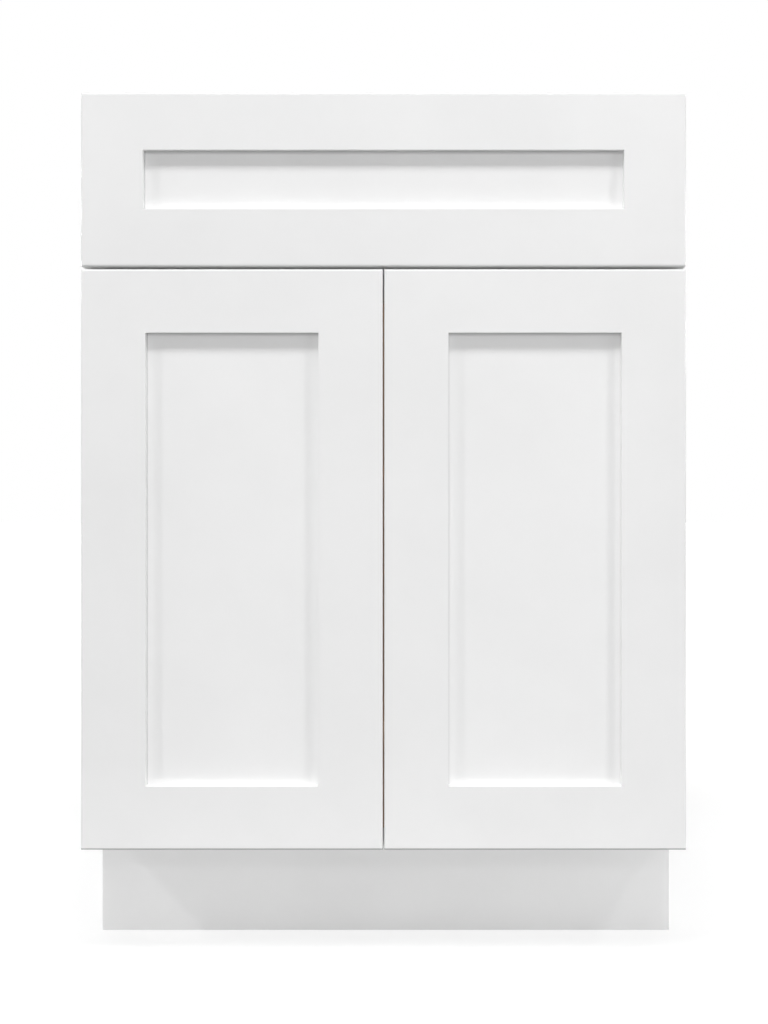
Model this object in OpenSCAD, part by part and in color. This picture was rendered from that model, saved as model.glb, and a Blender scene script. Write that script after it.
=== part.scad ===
// Frameless bathroom vanity cabinet with two full overlay shaker doors,
// one fixed false drawer front and soft-close concealed hinges.
// Millimetres. X runs across the front, Y from the doors to the wall, Z up.
// The origin is on the floor, under the middle of the cabinet's box.

/* [Cabinet box] */
// Width of the box, outside the two sides
cabinet_w = 609.6; // [500:0.1:760]
// Height from the floor to the top of the sides
cabinet_h = 876.3; // [800:0.1:960]
// Depth of the box, behind the doors
box_d = 533.4; // [400:0.1:610]
// Thickness of the sides, bottom, rails and nailers
board_t = 18; // [15:0.5:20]
// Depth of the dadoes and grooves cut into the sides
dado_d = 6; // [4:0.5:8]
// Thickness of the back panel
back_t = 6; // [4:0.5:9]
// Height of the nailers behind the back panel
nailer_h = 100; // [60:1:130]
// Height of the rail across the top of the front
top_rail_h = 90; // [60:1:110]
// Height of the rail behind the joint between the false front and the doors
mid_rail_h = 64; // [50:1:90]

/* [Toe kick] */
// Height of the toe kick
toe_h = 114.3; // [90:0.1:120]
// How far the toe kick stands back from the front edge of the box
toe_recess = 76.2; // [50:0.1:90]
// Thickness of the finished skin on the toe kick
toe_skin_t = 6; // [3:0.5:9]
// Rounding of the skin's upright ends
toe_skin_ease = 1.2; // [0.5:0.1:2.5]

/* [Fronts] */
// Thickness of the doors and of the false front
front_t = 19; // [18:0.5:22]
// Gap between the back of the fronts and the box
bumper_gap = 2; // [1.8:0.1:3]
// Reveal between the fronts and the outer edges of the box
edge_reveal = 1.5; // [1:0.1:3]
// Gap between the false front and the doors
front_gap = 3; // [2:0.1:4]
// Gap between the two doors
door_gap = 1.5; // [1.5:0.1:4]
// Height of the false front
false_front_h = 174; // [150:1:200]
// Width of the stiles of the doors
door_stile_w = 64.5; // [55:0.5:76]
// Width of the rails of the doors
door_rail_w = 63.5; // [55:0.5:76]
// Width of the stiles of the false front
false_stile_w = 62; // [50:0.5:76]
// Width of the rails of the false front
false_rail_w = 57.2; // [40:0.1:60]
// How far the panels lie behind the face of the frames
panel_recess = 9.5; // [6:0.5:10]
// Thickness of the door panels
panel_t = 6; // [4:0.5:6.5]
// Depth of the grooves that hold the panels
panel_groove_d = 9.5; // [6:0.5:12]
// Room left round each panel at the bottom of its grooves
panel_float = 0.8; // [0.3:0.1:1.5]
// Rounding of the outer front edges
front_ease = 2; // [1:0.1:4]
// Diameter of the door bumpers
bumper_d = 10; // [6:0.5:12]

/* [Hinges] */
// Distance of the hinge cups from the top and bottom of the doors
hinge_inset = 100; // [80:1:160]
// Diameter of the cup
cup_d = 35; // [35:0.1:36]
// Depth of the bore for the cup
cup_bore_d = 11.5; // [11.5:0.1:13]
// Wall and floor thickness of the cup
cup_wall = 0.9; // [0.6:0.1:1]
// Distance from the edge of the door to the near side of the cup
cup_tab = 5; // [4.5:0.1:6]
// Thickness of the cup's flange
flange_t = 1.2; // [0.8:0.1:1.5]
// Distance between the two flange screws
flange_screw_gap = 45; // [42:0.5:48]
// Distance from the box's front edge to the mounting plate's screws
plate_setback = 37; // [32:0.5:42]
// Distance between the two screws of a mounting plate
plate_screw_gap = 32; // [28:0.5:40]
// Radius of the hinge pins
pin_r = 1; // [0.8:0.05:1.05]
// Running clearance round the hinge pins
pin_clear = 0.05; // [0.03:0.01:0.08]

/* [Countertop brackets] */
// Length of each leg of a countertop bracket
bracket_leg = 36; // [28:1:50]
// Width of a countertop bracket
bracket_w = 30; // [22:1:45]
// Thickness of the bracket's steel
bracket_t = 2; // [1.5:0.1:3]
// Radius of the hole for the countertop screw
bracket_hole_r = 2.5; // [2:0.1:3.5]

/* [Hidden] */
$fn = 48;
eps = 0.01;
cut = 1; // how far a cutting tool reaches past the face that it opens

// ---------------------------------------------------------------- colours
paint = [0.93, 0.93, 0.93];
birch = [0.86, 0.76, 0.6];
steel = [0.72, 0.72, 0.74];
zinc = [0.62, 0.63, 0.65];
clear_rubber = [0.85, 0.87, 0.88];

// ---------------------------------------------------------------- the box
half_w = cabinet_w / 2;
inner_x = half_w - board_t;
front_y = -(box_d + bumper_gap + front_t) / 2;
fronts_back_y = front_y + front_t;
box_front_y = fronts_back_y + bumper_gap;
rear_y = box_front_y + box_d;
floor_z = toe_h + board_t;
toe_y = box_front_y + toe_recess;
toe_board_y = toe_y + toe_skin_t;
nailer_y = rear_y - board_t;
back_y = nailer_y - back_t;
groove_z = floor_z - dado_d;

// ---------------------------------------------------------------- the fronts
fronts_w = cabinet_w - 2 * edge_reveal;
false_z = cabinet_h - edge_reveal - false_front_h;
door_w = (fronts_w - door_gap) / 2;
door_z = toe_h + edge_reveal;
door_h = false_z - front_gap - door_z;
door_top_z = door_z + door_h;
mid_rail_z = false_z - front_gap / 2 - mid_rail_h / 2;
panel_inset = panel_groove_d - panel_float;

// ---------------------------------------------------------------- screws
pilot_clear = 0.03;
loose_clear = 0.2;
wood_screw_r = 1.9;
wood_screw_head_r = 3.8;
wood_screw_head_h = 2.4;
bracket_screw_l = 14;
bracket_screw_gap = 15;
bracket_setback = 10;
front_screw_bite = 11;
front_screw_x = cabinet_w / 4;
front_screw_l = board_t + bumper_gap + front_screw_bite;
spacer_r = 10;
top_screw_z = cabinet_h - edge_reveal - false_rail_w / 2;
low_screw_z = (false_z + mid_rail_z + mid_rail_h) / 2;
front_screw_places = [for (x = [-front_screw_x, front_screw_x], z = [low_screw_z, top_screw_z]) [x, z]];

// ---------------------------------------------------------------- helpers

// A rectangle whose two front corners are eased; its front lies on y = 0.
module eased_outline(width, depth, ease) {
  translate([0, ease]) square([width, depth - ease]);
  translate([ease, 0]) square([width - 2 * ease, ease + eps]);
  for (x = [ease, width - ease])
    translate([x, ease]) circle(ease);
}

// A strip of even width along a line of points, with round corners and ends.
module strip(points, half_width) {
  for (i = [0:len(points) - 2]) {
    run = points[i + 1] - points[i];
    translate(points[i]) {
      circle(half_width);
      rotate(atan2(run[1], run[0])) translate([0, -half_width]) square([norm(run), 2 * half_width]);
    }
  }
  translate(points[len(points) - 1]) circle(half_width);
}

// A polygon grown by a radius, so that its corners are round.
module rounded_polygon(points, radius) {
  polygon(points);
  strip(concat(points, [points[0]]), radius);
}

// Draws its children for the left side, or mirrored for the right side.
module on_side(side) {
  if (side == "left") children();
  else mirror([1, 0, 0]) children();
}

// A board given by two opposite corners.
module board(from, to) {
  translate(from) cube(to - from);
}

// A pan head screw with a cross recess: its head stands on z = 0 and its
// shank runs down.
module pan_screw(head_r, head_h, shank_r, length) {
  round_r = head_h * 0.45;
  recess_l = head_r * 1.2;
  recess_w = head_r * 0.3;
  recess_d = head_h * 0.6;
  difference() {
    rotate_extrude()
      union() {
        square([head_r, head_h - round_r]);
        square([head_r - round_r, head_h]);
        translate([head_r - round_r, head_h - round_r]) circle(round_r);
        translate([0, -length]) square([shank_r, length + eps]);
      }
    for (turn = [0, 90])
      rotate(turn) translate([-recess_l / 2, -recess_w / 2, head_h - recess_d])
        cube([recess_l, recess_w, recess_d + cut]);
  }
}

// The hole that a screw's shank fills.
module pilot_hole(shank_r, length) {
  translate([0, 0, -length - pilot_clear])
    cylinder(r = shank_r + pilot_clear, h = length + pilot_clear + cut);
}

// Puts its children at the false front's screws, pointing to the front.
module at_front_screws() {
  for (p = front_screw_places)
    translate([p[0], box_front_y + board_t, p[1]]) rotate([-90, 0, 0]) children();
}

// ---------------------------------------------------------------- the box

// The left side, with its toe notch, its dado for the bottom, its groove for
// the back panel and the pilot holes of what is screwed to it.
module side_panel() {
  color(paint)
    difference() {
      board([-half_w, box_front_y, 0], [-inner_x, rear_y, cabinet_h]);
      board([-half_w - cut, box_front_y - cut, -cut], [-inner_x + cut, toe_board_y, toe_h]);
      board([-inner_x - dado_d, box_front_y - cut, toe_h], [-inner_x + cut, rear_y + cut, floor_z]);
      board([-inner_x - dado_d, back_y, groove_z], [-inner_x + cut, nailer_y, cabinet_h + cut]);
      at_left_bracket_screws() pilot_hole(wood_screw_r, bracket_screw_l);
      at_plate_screws() pilot_hole(plate_screw_r, plate_screw_l);
    }
}

module bottom_panel() {
  color(birch)
    difference() {
      board([-inner_x - dado_d, box_front_y, toe_h], [inner_x + dado_d, rear_y, floor_z]);
      board([-half_w, back_y, groove_z], [half_w, nailer_y, floor_z + cut]);
    }
}

module back_panel() {
  color(birch)
    board([-inner_x - dado_d, back_y, groove_z], [inner_x + dado_d, nailer_y, cabinet_h]);
}

// One of the two boards behind the back panel, which are screwed to the wall.
module back_nailer(bottom_z) {
  color(birch)
    board([-inner_x, nailer_y, bottom_z], [inner_x, rear_y, bottom_z + nailer_h]);
}

// A rail on edge across the front of the box.
module front_rail(bottom_z, height) {
  color(paint)
    difference() {
      board([-inner_x, box_front_y, bottom_z], [inner_x, box_front_y + board_t, bottom_z + height]);
      at_front_screws() pilot_hole(wood_screw_r, front_screw_l);
    }
}

module toe_board() {
  color(birch)
    board([-inner_x, toe_board_y, 0], [inner_x, toe_board_y + board_t, toe_h]);
}

// The finished board over the toe kick, with its upright ends eased.
module toe_kick_skin() {
  color(paint)
    translate([-half_w, toe_y, 0])
      linear_extrude(toe_h) eased_outline(cabinet_w, toe_skin_t, toe_skin_ease);
}

// ---------------------------------------------------------------- countertop brackets
bracket_bend_r = 3;
bracket_front_y = box_front_y + board_t + bracket_setback + bracket_w / 2;
bracket_rear_y = back_y - bracket_setback - bracket_w / 2;
bracket_screw_z = cabinet_h - (bracket_leg + bracket_t) / 2 - 2;
bracket_hole_x = inner_x - (bracket_leg + bracket_t) / 2 - 2;

// The outline of a bent steel angle, with its corner at the origin.
module angle_outline() {
  difference() {
    union() {
      square([bracket_leg, bracket_t]);
      square([bracket_t, bracket_leg]);
      difference() {
        square(bracket_bend_r);
        translate([bracket_bend_r, bracket_bend_r]) circle(bracket_bend_r - bracket_t);
      }
    }
    difference() {
      translate([-cut, -cut]) square(bracket_bend_r + cut);
      translate([bracket_bend_r, bracket_bend_r]) circle(bracket_bend_r);
    }
  }
}

// Puts its children at the two left brackets, with the corner of the angle at
// the top of the side, the legs along +X and -Z, and the width along Y.
module at_left_brackets() {
  for (y = [bracket_front_y, bracket_rear_y])
    translate([-inner_x, y, cabinet_h]) children();
}

module at_left_bracket_screws() {
  for (y = [bracket_front_y, bracket_rear_y], dy = [-bracket_screw_gap / 2, bracket_screw_gap / 2])
    translate([-inner_x + bracket_t, y + dy, bracket_screw_z]) rotate([0, 90, 0]) children();
}

module left_brackets() {
  difference() {
    at_left_brackets()
      translate([0, bracket_w / 2, 0]) rotate([90, 0, 0]) mirror([0, 1, 0])
        linear_extrude(bracket_w) angle_outline();
    for (y = [bracket_front_y, bracket_rear_y])
      translate([-bracket_hole_x, y, cabinet_h - bracket_t - cut])
        cylinder(r = bracket_hole_r, h = bracket_t + 2 * cut);
    at_left_bracket_screws()
      translate([0, 0, -bracket_t - cut]) cylinder(r = wood_screw_r + loose_clear, h = bracket_t + 2 * cut);
  }
}

module countertop_brackets() {
  color(steel)
    for (side = ["left", "right"]) on_side(side) left_brackets();
}

module countertop_bracket_screws() {
  color(zinc)
    for (side = ["left", "right"]) on_side(side)
      at_left_bracket_screws() pan_screw(wood_screw_head_r, wood_screw_head_h, wood_screw_r, bracket_screw_l);
}

// ---------------------------------------------------------------- fronts

// A front before it is cut into its frame: a slab with eased outer edges.
module front_blank(width, height) {
  intersection() {
    linear_extrude(height) eased_outline(width, front_t, front_ease);
    rotate([90, 0, 90]) linear_extrude(width) mirror([1, -1]) eased_outline(height, front_t, front_ease);
  }
}

// The left stile of a front, grooved for the panel and the rails' tongues.
module frame_stile(width, height, stile_w) {
  difference() {
    intersection() {
      front_blank(width, height);
      cube([stile_w, front_t, height]);
    }
    translate([stile_w - panel_groove_d, panel_recess, -cut])
      cube([panel_groove_d + cut, panel_t, height + 2 * cut]);
  }
}

// The bottom rail of a front, with a tongue on each end.
module frame_rail(width, height, stile_w, rail_w) {
  tongue_x = stile_w - panel_groove_d;
  difference() {
    union() {
      intersection() {
        front_blank(width, height);
        translate([stile_w, 0, 0]) cube([width - 2 * stile_w, front_t, rail_w]);
      }
      translate([tongue_x, panel_recess, 0]) cube([width - 2 * tongue_x, panel_t, rail_w]);
    }
    translate([tongue_x - cut, panel_recess, rail_w - panel_groove_d])
      cube([width - 2 * tongue_x + 2 * cut, panel_t, panel_groove_d + cut]);
  }
}

// The flat panel of a front, which floats in the grooves.
module frame_panel(width, height, stile_w, rail_w) {
  translate([stile_w - panel_inset, panel_recess, rail_w - panel_inset])
    cube([width - 2 * (stile_w - panel_inset), panel_t, height - 2 * (rail_w - panel_inset)]);
}

// Turns a left stile or a bottom rail into the opposite member.
module across(width) {
  translate([width, 0, 0]) mirror([1, 0, 0]) children();
}

module upside_down(height) {
  translate([0, 0, height]) mirror([0, 0, 1]) children();
}

// ---------------------------------------------------------------- false front
module at_false_front() {
  translate([-fronts_w / 2, front_y, false_z]) children();
}

module false_front_stile() {
  color(paint)
    at_false_front() frame_stile(fronts_w, false_front_h, false_stile_w);
}

module false_front_rail() {
  frame_rail(fronts_w, false_front_h, false_stile_w, false_rail_w);
}

module false_front_bottom_rail() {
  color(paint)
    difference() {
      at_false_front() false_front_rail();
      at_front_screws() pilot_hole(wood_screw_r, front_screw_l);
    }
}

module false_front_top_rail() {
  color(paint)
    difference() {
      at_false_front() upside_down(false_front_h) false_front_rail();
      at_front_screws() pilot_hole(wood_screw_r, front_screw_l);
    }
}

module false_front_panel() {
  color(paint)
    at_false_front() frame_panel(fronts_w, false_front_h, false_stile_w, false_rail_w);
}

// Rings that hold the false front level with the faces of the doors.
module false_front_spacers() {
  color(clear_rubber)
    at_front_screws()
      translate([0, 0, -board_t - bumper_gap])
        difference() {
          cylinder(r = spacer_r, h = bumper_gap);
          translate([0, 0, -cut]) cylinder(r = wood_screw_r + pilot_clear, h = bumper_gap + 2 * cut);
        }
}

module false_front_screws() {
  color(zinc)
    at_front_screws() pan_screw(wood_screw_head_r, wood_screw_head_h, wood_screw_r, front_screw_l);
}

// ---------------------------------------------------------------- doors
module at_left_door() {
  translate([-fronts_w / 2, front_y, door_z]) children();
}

module door_hinge_stile(side) {
  color(paint)
    on_side(side)
      difference() {
        at_left_door() frame_stile(door_w, door_h, door_stile_w);
        at_left_hinges() {
          translate([cup_x, cut, 0]) rotate([90, 0, 0]) cylinder(r = cup_d / 2, h = cup_bore_d + cut);
          at_flange_screws() pilot_hole(flange_screw_r, flange_screw_l);
        }
      }
}

module door_lock_stile(side) {
  color(paint)
    on_side(side) at_left_door() across(door_w) frame_stile(door_w, door_h, door_stile_w);
}

module door_bottom_rail(side) {
  color(paint)
    on_side(side) at_left_door() frame_rail(door_w, door_h, door_stile_w, door_rail_w);
}

module door_top_rail(side) {
  color(paint)
    on_side(side) at_left_door() upside_down(door_h) frame_rail(door_w, door_h, door_stile_w, door_rail_w);
}

module door_panel(side) {
  color(paint)
    on_side(side) at_left_door() frame_panel(door_w, door_h, door_stile_w, door_rail_w);
}

// Soft domed buttons on the back of a door, at the corners by the middle.
bumper_clear = 0.15;
bumper_inset = 12;
bumper_h = bumper_gap - bumper_clear;
bumper_dome_r = 16;

module door_bumpers(side) {
  color(clear_rubber)
    on_side(side)
      for (z = [(door_z + floor_z) / 2, door_top_z - bumper_inset])
        translate([-door_gap / 2 - bumper_inset, fronts_back_y, z]) rotate([-90, 0, 0])
          intersection() {
            cylinder(d = bumper_d, h = bumper_h);
            translate([0, 0, bumper_h - bumper_dome_r]) sphere(bumper_dome_r);
          }
}

// ---------------------------------------------------------------- hinges
// A hinge is drawn for the left door, with X away from the door's edge, Y
// behind the back of the door, and Z up from the middle of the cup.
cup_x = cup_tab + cup_d / 2;
cup_inner_r = cup_d / 2 - cup_wall;
cup_fit = 0.05;
cheek_back = 6;
cheek_x = cup_x - cheek_back;
cheek_z = 10.5;
rim_notch_z = 7.5;
rim_notch_d = 2.2;
flange_margin = 1.5;
flange_ear_r = 5.5;
flange_screw_back = 9.5;
flange_screw_r = 1.6;
flange_screw_head_r = 3.2;
flange_screw_head_h = 1.7;
flange_screw_l = 13;

// The four pivots and the two knees of the linkage with the door shut, first
// from the middle of the cup and then from the hinge's own origin.
outer_arm_at = [10.7, 2.6];
outer_cup_at = [-11.6, -5];
inner_arm_at = [5.7, -7.2];
inner_cup_at = [-11, -8.3];
outer_knee_at = [-5.1, -7];
inner_knee_at = [-2.2, -9.1];
cup_middle = [cup_x, 0];
outer_arm_pin = cup_middle + outer_arm_at;
outer_cup_pin = cup_middle + outer_cup_at;
inner_arm_pin = cup_middle + inner_arm_at;
inner_cup_pin = cup_middle + inner_cup_at;
outer_knee = cup_middle + outer_knee_at;
inner_knee = cup_middle + inner_knee_at;

// The inner link's free eye is a loose fit on its pin on the arm.
free_eye_play = 0.9;
free_eye_shift = [0.34, 0.66];
free_eye = inner_arm_pin + free_eye_shift;
eye_wall = 0.9;
eye_r = pin_r + pin_clear + eye_wall;
outer_link_half = 1.4;
inner_link_half = 0.95;

// The layers of the linkage, out from its middle: the inner link, the walls
// of the arm's nose, and the two plates of the outer link.
layer_gap = 0.4;
inner_link_z = 3.2;
nose_wall_t = 1.5;
outer_plate_t = 1.2;
nose_z = inner_link_z + layer_gap;
outer_plate_z = nose_z + nose_wall_t + layer_gap;
stub_z = outer_plate_z - layer_gap / 2;
cup_pin_bite = 1.1;
cup_pin_end = cheek_z + cup_pin_bite;
arm_pin_proud = 0.4;
arm_pin_end = outer_plate_z + outer_plate_t + arm_pin_proud;

// The arm's channel and the mounting plate on the side panel.
side_in = board_t - edge_reveal;
plate_y = bumper_gap + plate_setback;
plate_wing_t = 2.5;
plate_wing_r = 6.5;
plate_front_l = 9;
plate_rear_l = 17;
plate_front_y = plate_y - plate_front_l;
plate_rear_y = plate_y + plate_rear_l;
plate_boss_z = 5.2;
plate_screw_r = 2.4;
plate_screw_head_r = 3.6;
plate_screw_head_h = 2;
plate_screw_l = 13;
arm_wall_t = 1.5;
arm_side_gap = 0.3;
arm_foot_gap = 0.8;
arm_h = 13;
arm_z = plate_boss_z + arm_side_gap + arm_wall_t;
arm_top_x = side_in + arm_h;
arm_foot_x = side_in + plate_wing_t + arm_foot_gap;
arm_web_t = 1.5;
arm_front_y = 17;
arm_tail_l = 4;
arm_rear_y = plate_rear_y + arm_tail_l;
nose_r = 2.2;
nose_step = 5;
nose_points = [
  outer_arm_pin, inner_arm_pin, [arm_foot_x + nose_r, arm_front_y - nose_step],
  [arm_foot_x + nose_r, arm_front_y + nose_r], [arm_top_x - nose_r, arm_front_y + nose_r]
];
arm_screw_r = 2;
arm_screw_head_r = 3.4;
arm_screw_head_h = 1.8;
arm_screw_l = 8;
arm_screw_front_inset = 5;
arm_screw_rear_inset = 6;
arm_screw_places = [plate_front_y + arm_screw_front_inset, plate_rear_y - arm_screw_rear_inset];

module at_left_hinges() {
  for (z = [door_z + hinge_inset, door_top_z - hinge_inset])
    translate([-fronts_w / 2, fronts_back_y, z]) children();
}

module at_flange_screws() {
  for (z = [-flange_screw_gap / 2, flange_screw_gap / 2])
    translate([cup_x + flange_screw_back, flange_t, z]) rotate([-90, 0, 0]) children();
}

module at_plate_screws() {
  at_left_hinges()
    for (z = [-plate_screw_gap / 2, plate_screw_gap / 2])
      translate([side_in + plate_wing_t, plate_y, z]) rotate([0, 90, 0]) children();
}

module at_arm_screws() {
  for (y = arm_screw_places)
    translate([arm_top_x, y, 0]) rotate([0, 90, 0]) children();
}

// A pin along Z through a pivot, between two heights.
module pin_through(pivot, from_z, to_z, radius) {
  translate([pivot[0], pivot[1], from_z]) cylinder(r = radius, h = to_z - from_z);
}

// The outline of the cup's flange, with an ear above and below the cup.
module flange_outline() {
  circle(cup_d / 2 + flange_margin);
  for (y = [-flange_screw_gap / 2, flange_screw_gap / 2]) {
    translate([flange_screw_back, y]) circle(flange_ear_r);
    translate([flange_screw_back - flange_ear_r, min(y, 0)]) square([2 * flange_ear_r, abs(y)]);
  }
}

// The hollow of the cup, narrowed by the two cheeks that carry its pins.
module cup_hollow() {
  intersection() {
    translate([cup_x, flange_t + cut, 0]) rotate([90, 0, 0])
      cylinder(r = cup_inner_r, h = cup_bore_d - cup_wall + flange_t + cut);
    union() {
      translate([cheek_x, -cup_bore_d, -cup_d]) cube([cup_d, cup_bore_d + flange_t + cut, 2 * cup_d]);
      translate([0, -cup_bore_d, -cheek_z]) cube([cup_d, cup_bore_d + flange_t + cut, 2 * cheek_z]);
    }
  }
}

module hinge_cup() {
  difference() {
    union() {
      translate([cup_x, 0, 0]) rotate([90, 0, 0]) cylinder(r = cup_d / 2 - cup_fit, h = cup_bore_d);
      translate([cup_x, flange_t, 0]) rotate([90, 0, 0]) linear_extrude(flange_t) flange_outline();
    }
    cup_hollow();
    translate([-cut, -rim_notch_d, -rim_notch_z])
      cube([cheek_x + cut, rim_notch_d + flange_t + cut, 2 * rim_notch_z]);
    at_flange_screws()
      translate([0, 0, -flange_t - cut]) cylinder(r = flange_screw_r + pilot_clear, h = flange_t + 2 * cut);
    for (pivot = [outer_cup_pin, inner_cup_pin])
      pin_through(pivot, -cup_pin_end - pilot_clear, cup_pin_end + pilot_clear, pin_r + pilot_clear);
  }
}

module hinge_cups(side) {
  color(steel)
    on_side(side) at_left_hinges() hinge_cup();
}

module hinge_cup_screws(side) {
  color(zinc)
    on_side(side) at_left_hinges() at_flange_screws()
      pan_screw(flange_screw_head_r, flange_screw_head_h, flange_screw_r, flange_screw_l);
}

// Two short pins for the outer link's plates and a long one for the inner link.
module hinge_cup_pins(side) {
  color(zinc)
    on_side(side) at_left_hinges() {
      pin_through(outer_cup_pin, stub_z, cup_pin_end, pin_r);
      pin_through(outer_cup_pin, -cup_pin_end, -stub_z, pin_r);
      pin_through(inner_cup_pin, -cup_pin_end, cup_pin_end, pin_r);
    }
}

// One plate of the outer link, bent round the rim of the cup.
module outer_link_outline() {
  difference() {
    union() {
      strip([outer_arm_pin, outer_knee, outer_cup_pin], outer_link_half);
      translate(outer_arm_pin) circle(eye_r);
      translate(outer_cup_pin) circle(eye_r);
    }
    translate(outer_arm_pin) circle(pin_r + pin_clear);
    translate(outer_cup_pin) circle(pin_r + pin_clear);
  }
}

module hinge_outer_links(side) {
  color(steel)
    on_side(side) at_left_hinges()
      for (z = [-outer_plate_z - outer_plate_t, outer_plate_z])
        translate([0, 0, z]) linear_extrude(outer_plate_t) outer_link_outline();
}

module inner_link_outline() {
  difference() {
    union() {
      strip([inner_cup_pin, inner_knee, free_eye], inner_link_half);
      translate(inner_cup_pin) circle(eye_r);
      translate(free_eye) circle(pin_r + free_eye_play + eye_wall);
    }
    translate(inner_cup_pin) circle(pin_r + pin_clear);
    translate(free_eye) circle(pin_r + free_eye_play);
  }
}

module hinge_inner_links(side) {
  color(steel)
    on_side(side) at_left_hinges()
      translate([0, 0, -inner_link_z]) linear_extrude(2 * inner_link_z) inner_link_outline();
}

module hinge_arm_pins(side) {
  color(zinc)
    on_side(side) at_left_hinges() {
      pin_through(outer_arm_pin, -arm_pin_end, arm_pin_end, pin_r);
      pin_through(inner_arm_pin, -nose_z - nose_wall_t, nose_z + nose_wall_t, pin_r);
    }
}

// The arm: two nose walls that reach into the cup, and a channel that drops
// over the boss of the mounting plate.
module hinge_arm() {
  difference() {
    union() {
      for (z = [-nose_z - nose_wall_t, nose_z])
        translate([0, 0, z]) linear_extrude(nose_wall_t) rounded_polygon(nose_points, nose_r);
      board([arm_foot_x, arm_front_y, -arm_z], [arm_top_x, arm_front_y + 2 * nose_r, arm_z]);
      board([arm_top_x - arm_web_t, arm_front_y, -arm_z], [arm_top_x, arm_rear_y, arm_z]);
      for (z = [-arm_z, arm_z - arm_wall_t])
        board([arm_foot_x, arm_front_y, z], [arm_top_x, arm_rear_y, z + arm_wall_t]);
    }
    for (pivot = [outer_arm_pin, inner_arm_pin])
      pin_through(pivot, -arm_z, arm_z, pin_r + pilot_clear);
    at_arm_screws()
      translate([0, 0, -arm_web_t - cut]) cylinder(r = arm_screw_r + loose_clear, h = arm_web_t + 2 * cut);
  }
}

module hinge_arms(side) {
  color(steel)
    on_side(side) at_left_hinges() hinge_arm();
}

module hinge_arm_screws(side) {
  color(zinc)
    on_side(side) at_left_hinges() at_arm_screws()
      pan_screw(arm_screw_head_r, arm_screw_head_h, arm_screw_r, arm_screw_l);
}

// The mounting plate: two wings with screws, and a boss inside the arm.
module hinge_plate() {
  difference() {
    union() {
      translate([side_in, 0, 0]) rotate([90, 0, 90]) linear_extrude(plate_wing_t) {
        for (z = [-plate_screw_gap / 2, plate_screw_gap / 2])
          translate([plate_y, z]) circle(plate_wing_r);
        translate([plate_y - plate_wing_r, -plate_screw_gap / 2]) square([2 * plate_wing_r, plate_screw_gap]);
        translate([plate_front_y, -arm_z]) square([plate_rear_y - plate_front_y, 2 * arm_z]);
      }
      board([side_in, plate_front_y, -plate_boss_z], [arm_top_x - arm_web_t, plate_rear_y, plate_boss_z]);
    }
    at_arm_screws() pilot_hole(arm_screw_r, arm_screw_l);
    for (z = [-plate_screw_gap / 2, plate_screw_gap / 2])
      translate([side_in - cut, plate_y, z]) rotate([0, 90, 0])
        cylinder(r = plate_screw_r + pilot_clear, h = plate_wing_t + 2 * cut);
  }
}

module hinge_plates(side) {
  color(zinc)
    on_side(side) at_left_hinges() hinge_plate();
}

module hinge_plate_screws(side) {
  color(zinc)
    on_side(side) at_plate_screws()
      pan_screw(plate_screw_head_r, plate_screw_head_h, plate_screw_r, plate_screw_l);
}

// ---------------------------------------------------------------- the parts
side_panel();  // left_side_panel
on_side("right") side_panel();  // right_side_panel
bottom_panel();
back_panel();
back_nailer(cabinet_h - nailer_h);  // back_top_nailer
back_nailer(floor_z);  // back_bottom_nailer
front_rail(cabinet_h - top_rail_h, top_rail_h);  // top_front_rail
front_rail(mid_rail_z, mid_rail_h);  // mid_rail
toe_board();
toe_kick_skin();
countertop_brackets();
countertop_bracket_screws();
false_front_stile();  // false_front_left_stile
on_side("right") false_front_stile();  // false_front_right_stile
false_front_top_rail();
false_front_bottom_rail();
false_front_panel();
false_front_spacers();
false_front_screws();
for (side = ["left", "right"]) {
  door_hinge_stile(side);
  door_lock_stile(side);
  door_top_rail(side);
  door_bottom_rail(side);
  door_panel(side);
  door_bumpers(side);
  hinge_cups(side);
  hinge_cup_screws(side);
  hinge_cup_pins(side);
  hinge_outer_links(side);
  hinge_inner_links(side);
  hinge_arm_pins(side);
  hinge_arms(side);
  hinge_arm_screws(side);
  hinge_plates(side);
  hinge_plate_screws(side);
}
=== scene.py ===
"""Looks of the bathroom vanity cabinet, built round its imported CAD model."""
import math
from collections import namedtuple

import bpy
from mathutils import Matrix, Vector


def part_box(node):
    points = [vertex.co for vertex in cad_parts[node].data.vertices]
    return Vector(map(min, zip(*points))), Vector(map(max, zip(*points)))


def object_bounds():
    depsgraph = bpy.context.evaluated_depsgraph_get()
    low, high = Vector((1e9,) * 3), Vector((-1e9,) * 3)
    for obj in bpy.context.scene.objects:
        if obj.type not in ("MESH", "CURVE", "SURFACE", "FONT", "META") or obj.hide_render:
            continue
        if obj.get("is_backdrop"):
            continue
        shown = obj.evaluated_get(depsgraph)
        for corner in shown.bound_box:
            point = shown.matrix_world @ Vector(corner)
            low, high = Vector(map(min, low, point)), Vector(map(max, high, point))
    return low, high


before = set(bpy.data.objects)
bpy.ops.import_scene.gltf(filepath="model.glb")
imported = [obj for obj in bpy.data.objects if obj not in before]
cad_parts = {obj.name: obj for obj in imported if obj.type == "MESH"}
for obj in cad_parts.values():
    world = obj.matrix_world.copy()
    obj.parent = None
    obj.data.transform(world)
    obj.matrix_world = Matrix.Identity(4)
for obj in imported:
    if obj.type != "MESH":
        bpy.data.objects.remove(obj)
cad_low, cad_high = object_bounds()
bounds = {name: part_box(name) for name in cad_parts}
AXES = {"X": 0, "Y": 1, "Z": 2}

# ------------------------------------------------------------------ camera
# The camera looks straight at the fronts, as in a catalogue, from a little
# right of the middle. The shift moves the object to the frame's centre.
EYE_X, EYE_Z = 0.0329, 0.5245
EYE_AHEAD = 1.320
LENS_MM = 46.32
SENSOR_MM = 36
SHIFT_X, SHIFT_Y = -0.03154, -0.0682

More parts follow.
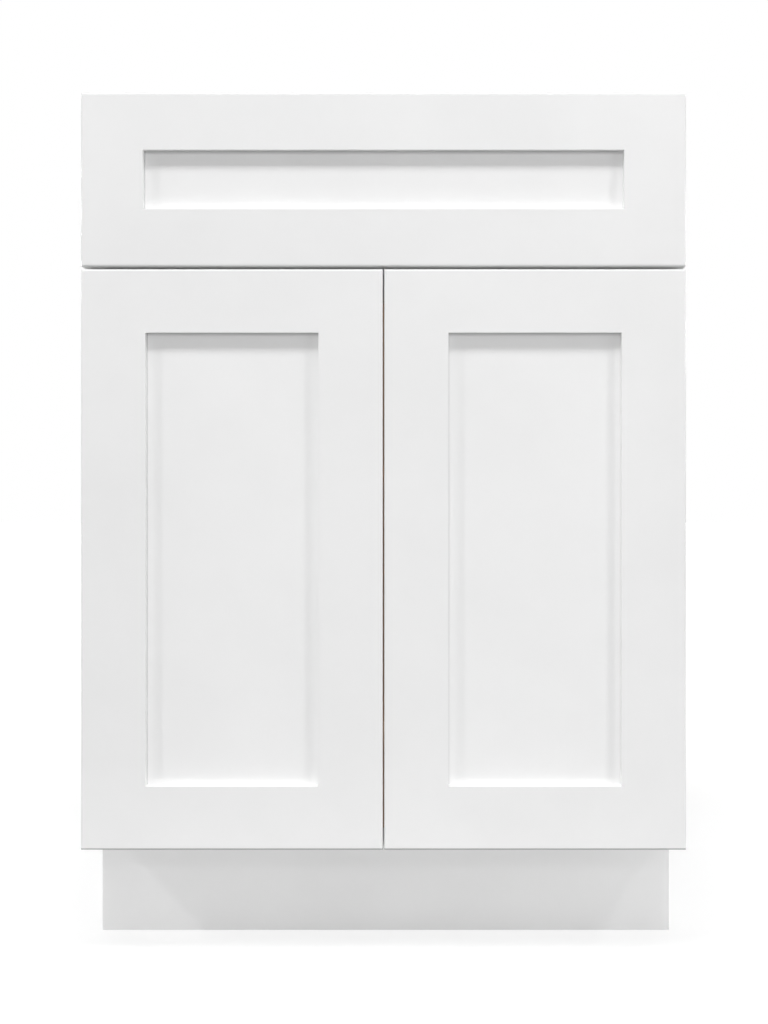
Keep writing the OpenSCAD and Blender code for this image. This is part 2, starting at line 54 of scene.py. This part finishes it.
camera_data = bpy.data.cameras.new("camera")
camera_data.lens = LENS_MM
camera_data.sensor_width = SENSOR_MM
camera_data.shift_x, camera_data.shift_y = SHIFT_X, SHIFT_Y
camera = bpy.data.objects.new("camera", camera_data)
camera.location = (EYE_X, cad_low.y - EYE_AHEAD, EYE_Z)
camera.rotation_euler = (math.pi / 2, 0, 0)
bpy.context.scene.collection.objects.link(camera)
bpy.context.scene.camera = camera


# ------------------------------------------------------------------ node graphs
class Graph:
    """A material's nodes, with a short way to add and link them."""

    # A Mix node's two inputs and its output, for each type of data.
    MIX_SOCKETS = {"FLOAT": (2, 3, 0), "VECTOR": (4, 5, 1), "RGBA": (6, 7, 2)}

    def __init__(self, name):
        self.material = bpy.data.materials.new(name)
        self.material.use_nodes = True
        self.tree = self.material.node_tree
        self.tree.nodes.clear()
        self.output = self.tree.nodes.new("ShaderNodeOutputMaterial")

    def add(self, kind, inputs=None, **settings):
        node = self.tree.nodes.new("ShaderNode" + kind)
        for name, value in settings.items():
            setattr(node, name, value)
        for name, value in (inputs or {}).items():
            self.join(node.inputs[name], value)
        return node

    def join(self, socket, value):
        if isinstance(value, bpy.types.NodeSocket):
            self.tree.links.new(value, socket)
        else:
            socket.default_value = value

    def place(self):
        """A point's place at rest, in metres, the same at every pose."""
        return self.add("TexCoord").outputs["Object"]

    def normal(self):
        """The surface's direction at rest."""
        return self.add("TexCoord").outputs["Normal"]

    def math(self, operation, a, b=0.0):
        return self.add("Math", {0: a, 1: b}, operation=operation).outputs[0]

    def fold(self, operation, values):
        """One operation over a whole list of values."""
        total = values[0]
        for value in values[1:]:
            total = self.math(operation, total, value)
        return total

    def axis(self, vector, axis):
        return self.add("SeparateXYZ", {0: vector}).outputs[axis]

    def away(self, vector, axis, place):
        """How far a point is from the plane across an axis at that place."""
        return self.math("ABSOLUTE", self.math("SUBTRACT", self.axis(vector, axis), place))

    def moved(self, vector, location):
        return self.add("Mapping", {"Vector": vector, "Location": location}).outputs[0]

    def drawn_out(self, vector, axis, scale):
        """Coordinates that make a noise longer along one axis."""
        scales = [1.0, 1.0, 1.0]
        scales[AXES[axis]] = scale
        return self.add("Mapping", {"Vector": vector, "Scale": scales}).outputs[0]

    def noise(self, vector, scale, detail=2.0, roughness=0.5, distortion=0.0):
        return self.add("TexNoise", {
            "Vector": vector, "Scale": scale, "Detail": detail,
            "Roughness": roughness, "Distortion": distortion}).outputs["Fac"]

    def span(self, value, low, high, to_low=0.0, to_high=1.0):
        """value from low..high to to_low..to_high, clamped."""
        return self.add("MapRange", {
            "Value": value, "From Min": low, "From Max": high,
            "To Min": to_low, "To Max": to_high}).outputs[0]

    def blend(self, factor, a, b, data="RGBA", kind="MIX"):
        first, second, result = self.MIX_SOCKETS[data]
        node = self.add("Mix", data_type=data, blend_type=kind)
        self.join(node.inputs[0], factor)
        self.join(node.inputs[first], a)
        self.join(node.inputs[second], b)
        return node.outputs[result]

    def bump(self, height, strength, distance, below=None):
        inputs = {"Height": height, "Strength": strength, "Distance": distance}
        if below is not None:
            inputs["Normal"] = below
        return self.add("Bump", inputs).outputs[0]

    def shader(self, colour, roughness, bumps=None, **others):
        """The surface itself. Other inputs are named with _ for a space."""
        inputs = {"Base Color": colour, "Roughness": roughness}
        if bumps is not None:
            inputs["Normal"] = bumps
        inputs.update({name.replace("_", " "): value for name, value in others.items()})
        node = self.add("BsdfPrincipled", inputs)
        self.tree.links.new(node.outputs[0], self.output.inputs[0])
        return self.material


def grey(value):
    return (value, value, value, 1)


# ------------------------------------------------------------------ paint
PAINT = 0.88
PAINT_DARK = 0.855
COAT_SPECULAR = 0.4
# Painted light and shade: the false front is painted a little darker and the door panels a
# little lighter, for how the light falls on them. The first part of a name that fits counts.
PAINTED_LIGHT_TONES = {"false_front": 0.985, "door_panel": 1.015}
ON_WALL = 0.0004

# A line of painted shade, darker paint where a corner or crease would lie in shade: it runs
# where the coordinate along an axis is line, and fades out over reach. A wall, (axis, place),
# keeps it to the face that lies there.
PaintedShade = namedtuple("PaintedShade", "axis line reach darkest wall", defaults=[None])


# Darkens the paint towards each line: painted shade in corners and creases.
def painted_corner_shade(graph, painted_shades):
    place = graph.place()
    shades = []
    for corner in painted_shades:
        shade = graph.span(graph.away(place, corner.axis, corner.line),
                           0.0, corner.reach, corner.darkest, 1.0)
        if corner.wall:
            off_wall = graph.math("GREATER_THAN", graph.away(place, *corner.wall), ON_WALL)
            shade = graph.math("MAXIMUM", shade, off_wall)
        shades.append(shade)
    return graph.fold("MULTIPLY", shades)


def paint_inputs(graph, grain, painted_shades=(), tone=1.0):
    """Sprayed white paint: a fine skin, and the faintest lines along the grain."""
    place = graph.place()
    cloud = graph.noise(place, scale=9, detail=3)
    lines = graph.noise(graph.drawn_out(place, grain, 0.03), scale=520, detail=3, roughness=0.6)
    skin = graph.noise(place, scale=850, detail=1)
    colour = graph.blend(graph.span(cloud, 0.35, 0.65),
                         grey(PAINT_DARK * tone), grey(PAINT * tone))
    # Painted shade: darker paint along the given corner lines.
    if painted_shades:
        colour = graph.blend(1.0, colour, painted_corner_shade(graph, painted_shades), kind="MULTIPLY")
    bumps = graph.bump(skin, strength=0.35, distance=0.00003)
    bumps = graph.bump(lines, strength=0.25, distance=0.00002, below=bumps)
    roughness = graph.span(cloud, 0.3, 0.7, to_low=0.42, to_high=0.5)
    return colour, roughness, bumps


def paint_material(name, grain, painted_shades=()):
    graph = Graph(name)
    # The tone is painted light and shade for the part, not a real difference in the paint.
    tone = next((tone for part, tone in PAINTED_LIGHT_TONES.items() if part in name), 1.0)
    return graph.shader(*paint_inputs(graph, grain, painted_shades, tone),
                        Specular_IOR_Level=COAT_SPECULAR)


# ------------------------------------------------------------------ plywood
PLY_T = 0.0014
BIRCH_PALE, BIRCH_DEEP = (0.76, 0.6, 0.41, 1), (0.67, 0.5, 0.32, 1)
BIRCH_RING, BIRCH_PORE = (0.56, 0.39, 0.24, 1), (0.5, 0.33, 0.19, 1)
PLY_ALONG, PLY_ACROSS = (0.74, 0.58, 0.39, 1), (0.55, 0.39, 0.24, 1)
PLY_GLUE, PLY_SPECK = (0.27, 0.17, 0.1, 1), (0.3, 0.19, 0.11, 1)


def veneer(graph, grain, shift):
    """Birch face veneer, with its figure along one axis: colour and height."""
    place = graph.moved(graph.place(), shift)
    figure = graph.noise(graph.drawn_out(place, grain, 0.09),
                         scale=26, detail=3, roughness=0.55, distortion=1.2)
    rings = graph.math("PINGPONG", graph.math("MULTIPLY", figure, 9.0), 1.0)
    pores = graph.noise(graph.drawn_out(place, grain, 0.022), scale=900, detail=2, roughness=0.6)
    colour = graph.blend(graph.span(figure, 0.3, 0.7), BIRCH_PALE, BIRCH_DEEP)
    colour = graph.blend(graph.span(rings, 0.55, 1.0, to_high=0.3), colour, BIRCH_RING)
    colour = graph.blend(graph.span(pores, 0.5, 0.75, to_high=0.25), colour, BIRCH_PORE)
    return colour, pores


def plies(graph, axis, low):
    """The cut edge of plywood: layers across its thickness, with dark glue lines."""
    place = graph.place()
    depth = graph.math("DIVIDE", graph.math("SUBTRACT", graph.axis(place, axis), low), PLY_T)
    layer = graph.math("ABSOLUTE", graph.math("MODULO", graph.math("FLOOR", depth), 2.0))
    off_middle = graph.math("ABSOLUTE", graph.math(
        "SUBTRACT", graph.math("FRACT", depth), 0.5))
    glue = graph.math("MULTIPLY", graph.span(off_middle, 0.4, 0.5), 0.45)
    speck = graph.noise(place, scale=1500, detail=2, roughness=0.6)
    colour = graph.blend(layer, PLY_ALONG, PLY_ACROSS)
    colour = graph.blend(glue, colour, PLY_GLUE)
    return graph.blend(graph.span(speck, 0.45, 0.75, to_high=0.35), colour, PLY_SPECK)


def facing(graph, axis, sign):
    """1 where the surface faces that way at rest, else 0."""
    along = graph.axis(graph.normal(), axis)
    return graph.math("GREATER_THAN", graph.math("MULTIPLY", along, float(sign)), 0.5)


def board_material(name, across, low, grain, white):
    """A plywood board: veneer on its faces, plies on its edges, and paint on the
    sides that white names as (axis, sign) pairs."""
    graph = Graph(name)
    face, pores = veneer(graph, grain, (low, 2 * low, 0.3))
    along = graph.math("ABSOLUTE", graph.axis(graph.normal(), across))
    colour = graph.blend(graph.math("GREATER_THAN", along, 0.5), plies(graph, across, low), face)
    bumps = graph.bump(pores, strength=0.25, distance=0.00004)
    roughness = graph.span(pores, 0.3, 0.7, to_low=0.4, to_high=0.55)
    if white:
        painted = graph.fold("MAXIMUM", [facing(graph, axis, sign) for axis, sign in white])
        paint_colour, paint_roughness, paint_bumps = paint_inputs(graph, grain)
        colour = graph.blend(painted, colour, paint_colour)
        roughness = graph.blend(painted, roughness, paint_roughness, data="FLOAT")
        bumps = graph.blend(painted, bumps, paint_bumps, data="VECTOR")
    return graph.shader(colour, roughness, bumps, Specular_IOR_Level=COAT_SPECULAR)


# ------------------------------------------------------------------ metal and plastic
CLEAR_PALE, CLEAR_DARK = 0.93, 0.88
CLEAR_THROUGH, CLEAR_IOR = 0.85, 1.49


def metal_material(name, colour, worn, roughness):
    """Plated metal, duller in clouds, with fine scratches."""
    graph = Graph(name)
    place = graph.place()
    cloud = graph.noise(place, scale=70, detail=2)
    scratch = graph.noise(graph.drawn_out(place, "Z", 0.05), scale=3500, detail=2, roughness=0.6)
    tone = graph.blend(graph.span(cloud, 0.35, 0.7), colour, worn)
    rough = graph.span(cloud, 0.3, 0.7, to_low=roughness - 0.03, to_high=roughness + 0.04)
    return graph.shader(tone, rough, graph.bump(scratch, strength=0.2, distance=0.00002),
                        Metallic=1.0)


def clear_material(name):
    graph = Graph(name)
    cloud = graph.noise(graph.place(), scale=400, detail=2)
    colour = graph.blend(graph.span(cloud, 0.3, 0.7), grey(CLEAR_PALE), grey(CLEAR_DARK))
    return graph.shader(colour, graph.span(cloud, 0.3, 0.7, to_low=0.12, to_high=0.25),
                        Transmission_Weight=CLEAR_THROUGH, IOR=CLEAR_IOR)


# ------------------------------------------------------------------ dressing the CAD nodes
def dress(node, material):
    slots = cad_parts[node].data.materials
    slots.clear()
    slots.append(material)


def dress_front(front, stiles, panel_grain, rail_darkest, painted_foot_shade=()):
    """Paints a door or the false front, with painted shade in the corners between its panel and
    its frame and under its top rail, and with a painted shade line along its lower edge where
    one is given."""
    panel, top_rail, bottom_rail = (
        f"{front}_{part}" for part in ("panel", "top_rail", "bottom_rail"))
    left, right = sorted((f"{front}_{part}" for part in stiles),
                         key=lambda name: bounds[name][0].x)
    inner_left, inner_right = bounds[left][1].x, bounds[right][0].x
    face, top = bounds[panel][0].y, bounds[top_rail][0].z
    # Painted shade: the panel darkens under the top rail and beside the stiles, the top rail's
    # underside and the left stile's inner wall darken towards the panel.
    for node, grain, painted_shades in (
            (panel, panel_grain, [PaintedShade("Z", top, reach=0.003, darkest=0.68),
                                  PaintedShade("X", inner_left, reach=0.0012, darkest=0.72),
                                  PaintedShade("X", inner_right, reach=0.0012, darkest=0.93)]),
            (top_rail, "X", [PaintedShade("Y", face, reach=0.007, darkest=rail_darkest,
                                    wall=("Z", top))]),
            (bottom_rail, "X", painted_foot_shade),
            (left, "Z", [PaintedShade("Y", face, reach=0.003, darkest=0.8,
                                wall=("X", inner_left)), *painted_foot_shade]),
            (right, "Z", painted_foot_shade)):
        dress(node, paint_material(node + "_paint", grain, painted_shades))


nickel = metal_material("nickel_plate", (0.73, 0.72, 0.69, 1), (0.66, 0.65, 0.62, 1), 0.37)
zinc = metal_material("zinc_plate", (0.68, 0.7, 0.73, 1), (0.57, 0.59, 0.62, 1), 0.4)
clear = clear_material("clear_plastic")

# The painted shade under a top rail is deeper on the doors. A painted shade line along a door's
# lower edge runs just above it.
DOOR_RAIL_DARKEST, FALSE_FRONT_RAIL_DARKEST = 0.42, 0.6
FOOT_UP = 0.0005

for side, outward in (("left", -1), ("right", 1)):
    side_low = bounds[side + "_side_panel"][0].x
    dress(side + "_side_panel", board_material(
        side + "_side_ply", "X", side_low, "Z", [("X", outward), ("Y", -1), ("Z", -1)]))
    # A painted shade line along the door's lower edge, standing in for the shade where that edge
    # turns down.
    door_foot = bounds[side + "_door_bottom_rail"][0].z
    dress_front(side + "_door", ("hinge_stile", "lock_stile"), "Z", DOOR_RAIL_DARKEST,
                [PaintedShade("Z", door_foot + FOOT_UP, reach=0.0016, darkest=0.2)])
    dress(side + "_door_bumpers", clear)
    for part in ("cups", "outer_links", "inner_links", "arms", "plates"):
        dress(f"{side}_hinge_{part}", nickel)
    for part in ("cup_screws", "cup_pins", "arm_pins", "arm_screws", "plate_screws"):
        dress(f"{side}_hinge_{part}", zinc)

FRONT_AND_UNDERSIDE = [("Y", -1), ("Z", -1)]
for name, across, grain, white in (
        ("bottom_panel", "Z", "X", FRONT_AND_UNDERSIDE),
        ("back_panel", "Y", "Z", []),
        ("back_top_nailer", "Y", "X", []),
        ("back_bottom_nailer", "Y", "X", []),
        ("toe_board", "Y", "X", []),
        ("top_front_rail", "Y", "X", FRONT_AND_UNDERSIDE),
        ("mid_rail", "Y", "X", FRONT_AND_UNDERSIDE)):
    low = bounds[name][0][AXES[across]]
    dress(name, board_material(name + "_ply", across, low, grain, white))

dress("toe_kick_skin", paint_material("toe_kick_skin_paint", "X"))
dress_front("false_front", ("left_stile", "right_stile"), "X", FALSE_FRONT_RAIL_DARKEST)
dress("false_front_spacers", clear)
dress("false_front_screws", zinc)
dress("countertop_brackets", nickel)
dress("countertop_bracket_screws", zinc)

# ------------------------------------------------------------------ floor and world
FLOOR_SIZE = 14.0
FLOOR_DROP = 0.0005
# How pale the shaded part of the seen floor is, which keeps the object's shadow.
FLOOR_SHADED = 0.34
AMBIENT = 0.225


def seen_rays(tree):
    """1 for the rays that see the white studio: camera, mirror and see-through rays."""
    rays = tree.nodes.new("ShaderNodeLightPath")
    seen = rays.outputs["Is Camera Ray"]
    for ray in ("Is Glossy Ray", "Is Transmission Ray"):
        both = tree.nodes.new("ShaderNodeMath")
        both.operation = "MAXIMUM"
        tree.links.new(seen, both.inputs[0])
        tree.links.new(rays.outputs[ray], both.inputs[1])
        seen = both.outputs[0]
    return seen


def floor_material():
    """White where it is seen, and a plain grey that is paler by the object where it
    throws light back."""
    graph = Graph("floor_white")
    seen = seen_rays(graph.tree)
    place = graph.add("NewGeometry").outputs["Position"]
    past = [graph.math("MAXIMUM", graph.math("SUBTRACT", graph.math(
        "ABSOLUTE", graph.axis(place, axis)), cad_high[AXES[axis]]), 0.0) for axis in "XY"]
    away = graph.math("SQRT", graph.fold("ADD", [graph.math("POWER", far, 2.0) for far in past]))
    lit = graph.add("BsdfDiffuse", {
        "Color": graph.span(away, 0.05, 0.45, to_low=0.65, to_high=0.1)})
    shaded = graph.add("BsdfDiffuse", {"Color": grey(FLOOR_SHADED)})
    white = graph.add("Emission", {
        "Color": grey(1), "Strength": graph.span(away, 0.05, 0.6, to_low=0.7)})
    shown = graph.add("AddShader", {0: shaded.outputs[0], 1: white.outputs[0]})
    mixed = graph.add("MixShader", {0: seen, 1: lit.outputs[0], 2: shown.outputs[0]})
    graph.tree.links.new(mixed.outputs[0], graph.output.inputs[0])
    return graph.material


half = FLOOR_SIZE / 2
floor_mesh = bpy.data.meshes.new("floor")
floor_mesh.from_pydata(
    [(-half, -half, 0), (half, -half, 0), (half, half, 0), (-half, half, 0)], [], [(0, 1, 2, 3)])
floor_mesh.materials.append(floor_material())
floor = bpy.data.objects.new("floor", floor_mesh)
floor.location.z = cad_low.z - FLOOR_DROP
bpy.context.scene.collection.objects.link(floor)
floor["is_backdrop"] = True

world = bpy.data.worlds.new("studio")
bpy.context.scene.world = world
world.use_nodes = True
nodes, links = world.node_tree.nodes, world.node_tree.links
nodes.clear()
strength = nodes.new("ShaderNodeMapRange")
strength.inputs["To Min"].default_value = AMBIENT
strength.inputs["To Max"].default_value = 1.0
links.new(seen_rays(world.node_tree), strength.inputs["Value"])
background = nodes.new("ShaderNodeBackground")
background.inputs["Color"].default_value = grey(1)
links.new(strength.outputs[0], background.inputs["Strength"])
output = nodes.new("ShaderNodeOutputWorld")
links.new(background.outputs[0], output.inputs[0])

# ------------------------------------------------------------------ lamps
# name: direction from the middle of the fronts, distance, width and height in metres,
# power in watts, and the spread in degrees where it is less than 180
KEYS = {
    "key_left": ((-1.75, -1, 1.62), 8.0, 0.5, 0.5, 103),
    "key_right": ((1.5, -1, 2.03), 8.0, 0.5, 0.5, 82),
    "top": ((0, -1, 2.114), 2.806, 1.6, 0.5, 36),
    "top_left": ((-0.8, -1, 2.114), 3.0, 0.6, 0.5, 2.2),
}
FILLS = {
    "front_mid": ((0, -1, 0.385), 3.0, 2.0, 0.2, 4.8),
    "front_low": ((0, -1, -0.083), 3.0, 1.6, 0.3, 17),
    "side_left": ((-1.5, -1, 0.1), 2.2, 0.8, 1.4, 3),
    "side_right": ((1.5, -1, 0.1), 2.2, 0.8, 1.4, 9.8),
    "rim_left": ((-1, -0.2, 0.25), 2.5, 0.8, 1.2, 7.2),
    "rim_right": ((1, -0.2, 0.25), 2.5, 0.8, 1.2, 4.9),
    "rear_left": ((-0.9, 1, 0.3), 3.2, 0.6, 0.6, 1.6, 26),
    "rear_right": ((0.9, 1, 0.25), 3.2, 0.6, 0.6, 1.4, 26),
}


def lamp(name, towards, distance, width, height, watts, spread=180):
    """A soft box that shines on the middle of the fronts from one direction."""
    target = Vector((0, cad_low.y, (cad_low.z + cad_high.z) / 2))
    data = bpy.data.lights.new(name, "AREA")
    data.shape = "RECTANGLE"
    data.size, data.size_y = width, height
    data.energy = watts
    data.spread = math.radians(spread)
    box = bpy.data.objects.new(name, data)
    direction = Vector(towards).normalized()
    box.location = target + direction * distance
    box.rotation_euler = direction.to_track_quat("Z", "Y").to_euler()
    box.visible_camera = False
    bpy.context.scene.collection.objects.link(box)
    return box


keys = [lamp(name, *settings) for name, settings in KEYS.items()]
for name, settings in FILLS.items():
    lamp(name, *settings)

# The keys come in steeply through the open top, and they would light up the gap between
# the doors from behind, so the back panel takes only the softer light.
unlit = bpy.data.collections.new("not_lit_by_keys")
unlit.objects.link(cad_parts["back_panel"])
for key in keys:
    key.light_linking.receiver_collection = unlit
unlit.collection_objects[0].light_linking.link_state = "EXCLUDE"

# ------------------------------------------------------------------ render settings and the object's bounds
DIFFUSE_BOUNCES = 10
bpy.context.scene.view_settings.view_transform = "Standard"
bpy.context.scene.cycles.diffuse_bounces = DIFFUSE_BOUNCES

low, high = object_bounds()
